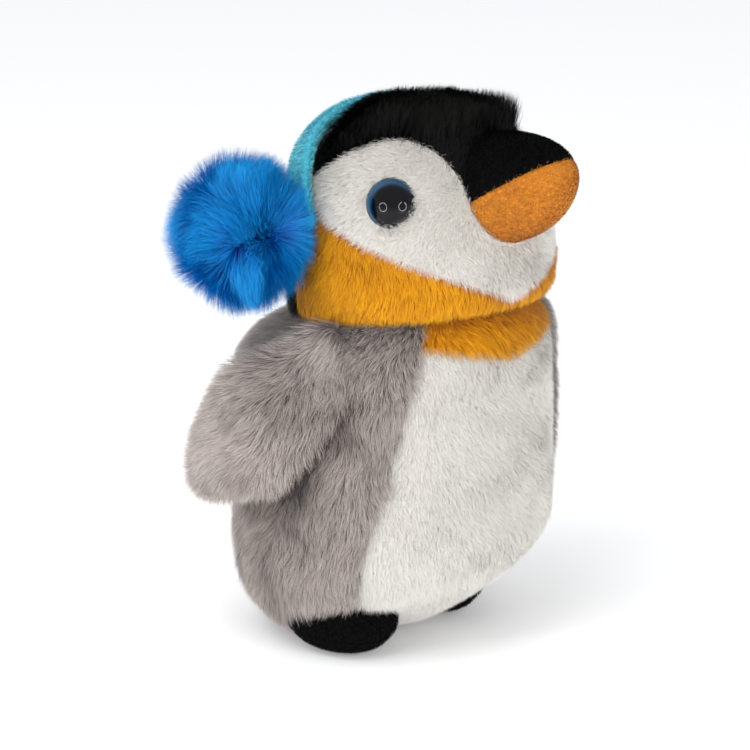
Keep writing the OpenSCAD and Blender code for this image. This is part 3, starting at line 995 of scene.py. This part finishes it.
# ---- headband ----
def headband_shape(u, a):
    """Soft strip over the head: u along the arc, a round its section."""
    inner = math.sqrt(HEAD_R**2 - BAND_OFF**2)
    arc = (u - 0.5) * 2 * (math.atan2(abs(POMPOM[0]), POMPOM @ BAND_UP) + 0.04)
    half_wide, half_thick = 4.1, 1.3
    end = np.clip(np.minimum(u, 1 - u) * 60, 0, 1) ** 0.5
    w = half_wide * power(np.cos(a), 0.6) * end
    h = half_thick * power(np.sin(a), 0.8) * end
    reach = inner + 2.0 - 0.9 * np.cos(arc) ** 4 + 1.8 * np.sin(2 * arc) ** 2 + h - w * BAND_OFF / inner
    side, high = (reach * np.sin(arc))[..., None], (reach * np.cos(arc))[..., None]
    return HEAD + side * np.array([1.0, 0, 0]) + high * BAND_UP + (BAND_OFF + w)[..., None] * BAND_ACROSS


def band_flow(at, out):
    return np.cross(out, BAND_ACROSS) + 0.3 * BAND_ACROSS


band_skin = surface(headband_shape, 120, 24)
skin_piece("headband_strip", band_skin, band_back, "head", "headband")
pile("headband_pile", band_skin, band_pile, "head", "turquoise_pile", 400, density=14, length=1.3,
     flow=band_flow, lift=(60, 30), width=0.12, tuft=1.5, clump=0.3, sway=0.4, jitter=0.5, segments=2)


# ---- ear muffs ----
def muff(side, seed, size):
    """Pompom of long fibres tied at its middle; size stretches it in x, y and z."""
    rng = np.random.default_rng(seed)
    centre = np.array(joints["pompom_twist_" + side]["pos_m"]) / MM
    low, high = corners("pompom_" + side)
    reach = (high[2] - low[2]) / 2 + 2.2
    core, count, tufts, segments = 3.2, 48000, 900, 4

    def ball(u, a):
        t = (u - 0.5) * math.pi
        return centre + core * np.stack([np.cos(t) * np.cos(a), np.cos(t) * np.sin(a), np.sin(t)], axis=-1)

    def scatter(n):
        k = np.arange(n) + 0.5
        z = 1 - 2 * k / n
        turn = k * math.pi * (1 + math.sqrt(5)) + rng.normal(size=n) * 0.3
        r = np.sqrt(1 - z * z)
        even = np.stack([r * np.cos(turn), r * np.sin(turn), z], axis=1)
        return unit(even + 0.03 * rng.normal(size=(n, 3)))

    def grow(direction, length):
        """Fibres leave the core straight out and fall with a slow swirl."""
        swirl = np.stack([field(direction * 10, 15, seed + k) for k in range(3)], axis=1)
        bend = unit(swirl - direction * dot(swirl, direction)) * 0.5
        stray = 0.16 * rng.normal(size=direction.shape)
        line = [centre + direction * core * 0.8]
        for k in range(segments):
            s = (k + 0.5) / segments
            step = unit(direction + (bend + stray) * (s * 1.5) ** 2 - UP * 0.1 * s)
            line.append(line[-1] + step * length / segments)
        return np.stack(line, axis=1)

    body = "pompom_" + side
    skin_piece("muff_core_" + side, surface(ball, 14, 20), muff_core, body, body)
    tuft_dir = scatter(tufts)
    tuft_long = (reach - core * 0.8) * rng.uniform(0.94, 1.05, size=(tufts, 1))
    guide = grow(tuft_dir, tuft_long)
    direction = scatter(count)
    mine = nearest(direction, tuft_dir)[0]
    line = grow(direction, tuft_long[mine] * (1.03 - 0.3 * rng.random((count, 1)) ** 2))
    s = (np.linspace(0, 1, segments + 1) ** 1.5)[None, :, None]
    amount = 0.5 * rng.uniform(0.4, 1.0, size=(count, 1, 1)) * s
    spread = (direction - tuft_dir[mine])[:, None, :] * reach * (1 - 0.8 * s)
    line = line + amount * (guide[mine] + spread * 0.7 - line)
    line = centre + (line - centre) * size
    away = line - HEAD
    gap = np.linalg.norm(away, axis=2, keepdims=True)
    limit = HEAD_R + 1.8
    line = HEAD + away * np.where((gap < limit) & (away[..., 2:] > -12), limit / gap, 1.0)
    shade = 0.55 * rng.random(count) + 0.45 * rng.random(tufts)[mine]
    thick = 0.105 * rng.uniform(0.7, 1.25, size=count)
    write_hairs("muff_fibre_" + side, line, direction, thick, rng, shade, 1.2, muff_pile, body)


muff("left", 500, (0.93, 0.93, 0.9))
muff("right", 501, (1, 1, 1.1))


# ---- wings ----
def wing_shape(sign):
    half_wide, half_thick = WING_WIDE / 2 + 0.3, 3.3

    def shape(u, a):
        t = (u - 0.5) * math.pi
        ring = np.cos(t) ** np.where(t > 0, 0.95, 0.7)
        along = (WING_LEN / 2 + np.where(t > 0, -1.8, 5.0)) * np.sin(t)
        taper = 1.0 - 0.16 * ramp(along, 0, 24) - 0.3 * ramp(-along, 6, 20) * ramp(np.cos(a), 0, 1)
        taper = taper - 0.22 * ramp(along, -4, 14) * ramp(-np.cos(a), 0, 1)
        across = half_wide * ring * np.cos(a) * taper + 3.4 * ramp(along, 0, 26)
        plump = (1 - 0.5 * ramp(-along, 2, 24)) * (1 - 0.25 * ramp(-across, 3, 12))
        out = half_thick * plump * ring**0.6 * np.sin(a)
        flare = 2.6 * ramp(along, -2, 27) * ramp(across + along * 0.4, -8, 16)
        raised = 2.2 * ramp(along, -18, 0) - 7.4 * ramp(-along, 8, 27)
        return on_wing(sign, across, along, out + flare + raised - 0.3)

    return shape


for n, (side, sign) in enumerate(SIDES.items()):
    shape = wing_shape(sign)
    skin = surface(shape, 60, 64)
    outward = unit(skin.centres() * [1, 1, 0])
    facing = np.sum(skin.normals[skin.faces].mean(axis=1) * outward, axis=1)

    def wing_flow(at, out, sign=sign):
        """Towards the tip, fanning out to both edges."""
        across, along = wing_place(at, sign)
        zero = np.zeros(len(at))
        step = on_wing(sign, across * 1.06 + 0.02, along + 1, zero) - on_wing(sign, across, along, zero)
        return unit(step) - 0.25 * UP

    for part, mask, length in (("outer", facing > 0, 5.4), ("lining", facing <= 0, 2.4)):
        sew(f"wing_{part}_{side}", skin.part(mask), GREY, "wing_" + side, 600 + 2 * n + (part == "outer"),
            fill=0.8, flow=wing_flow, length=length)
    filling("wing_filling_" + side, shape, 20, 28, 1.2, "wing_" + side, "wing_stuffing_" + side)


# ---- CAD pieces that keep their shape ----
plain_looks = {"eye_back": back_plastic, "eye_washer": washer_plastic, "pompom_tie": thread}
for side in SIDES:
    for kind, look in {**plain_looks, "eye_dome": eye_looks[side]}.items():
        materials = frame["nodes"][f"{kind}_{side}"].data.materials
        materials.clear()
        materials.append(look)


# ---- floor, light and camera ----
def staged(name, points, faces, look):
    """A mesh of the stage, not of the toy."""
    mesh = bpy.data.meshes.new(name)
    mesh.from_pydata(points, [], faces)
    mesh.materials.append(look.material)
    thing = add_object(name, mesh)
    return thing


def glowing(name, colour, glow, roughness, specular=0.3):
    look = Look(name, roughness, specular)
    look.set("Base Color", colour)
    look.set("Emission Color", WHITE)
    look.set("Emission Strength", glow)
    return look


FLOOR_HALF = 6.0
floor_corners = [(x * FLOOR_HALF, y * FLOOR_HALF, 0) for x, y in ((-1, -1), (1, -1), (1, 1), (-1, 1))]
paper = glowing("floor_paper", (0.93, 0.93, 0.935, 1), 0.16, 0.85, 0.1)
staged("floor", floor_corners, [(0, 1, 2, 3)], paper)
world = bpy.data.worlds.new("studio")
bpy.context.scene.world = world
world.use_nodes = True
sky = world.node_tree.nodes["Background"]
sky.inputs["Color"].default_value = (0.98, 0.99, 1.0, 1)
sky.inputs["Strength"].default_value = 0.80


def polar(azimuth, elevation, distance):
    """Point seen from the toy at an azimuth (0 is the front, -90 its right side)."""
    a, e = azimuth * DEG, elevation * DEG
    return Vector((math.sin(a) * math.cos(e), -math.cos(a) * math.cos(e), math.sin(e))) * distance


def soft_box(name, azimuth, elevation, distance, size, power):
    light = bpy.data.lights.new(name, "AREA")
    light.shape = "DISK"
    light.size = size
    light.energy = power
    lamp = add_object(name, light)
    target = Vector((0, 0, 0.06))
    lamp.location = target + polar(azimuth, elevation, distance)
    lamp.rotation_euler = (target - lamp.location).to_track_quat("-Z", "Y").to_euler()
    lamp.visible_glossy = False


soft_box("key_light", -80, 58, 1.1, 0.7, 4.6)


def mirror_spot(x, y):
    """Direction seen mirrored in the right eye at x, y of its radius from its middle."""
    eye = EYES["right"] * MM
    view = unit(np.array(camera.location) - eye)
    side = unit(np.cross(UP, view))
    normal = side * x + np.cross(view, side) * y
    normal = normal + view * math.sqrt(1 - x * x - y * y)
    return eye, 2 * (normal @ view) * normal - view


def ring_lamp(name, x, y, radius=0.085, width=0.005, distance=0.30, strength=58.0, count=48):
    """Round photographer's lamp that faces the toy and shows as a ring in its eye."""
    eye, towards = mirror_spot(x, y)
    side = unit(np.cross(UP, towards))
    up = np.cross(towards, side)
    a = np.arange(count) * 2 * math.pi / count
    circle = side * np.cos(a)[:, None] + up * np.sin(a)[:, None]
    points = np.concatenate([circle * radius, circle * (radius + width)]) + eye + towards * distance
    faces = [(k, (k + 1) % count, count + (k + 1) % count, count + k) for k in range(count)]
    glow = glowing(name + "_glow", (0, 0, 0, 1), strength, 0.5)
    lamp = staged(name, [tuple(p) for p in points], faces, glow)
    lamp.visible_camera = False


CAMERA_AZIMUTH, CAMERA_ELEVATION, CAMERA_DISTANCE, FOCAL = -45.0, 15.0, 0.62, 130.6
camera_data = bpy.data.cameras.new("camera")
camera_data.lens = FOCAL
camera_data.sensor_width = 36
camera = add_object("camera", camera_data)
aim = Vector((-0.0032, 0.0032, 0.0604))
camera.location = aim + polar(CAMERA_AZIMUTH, CAMERA_ELEVATION, CAMERA_DISTANCE)
camera.rotation_euler = (aim - camera.location).to_track_quat("-Z", "Y").to_euler()
bpy.context.scene.camera = camera
ring_lamp("ring_lamp_1", -0.38, -0.10)
ring_lamp("ring_lamp_2", 0.32, -0.08)
bpy.context.scene.view_settings.view_transform = "Standard"
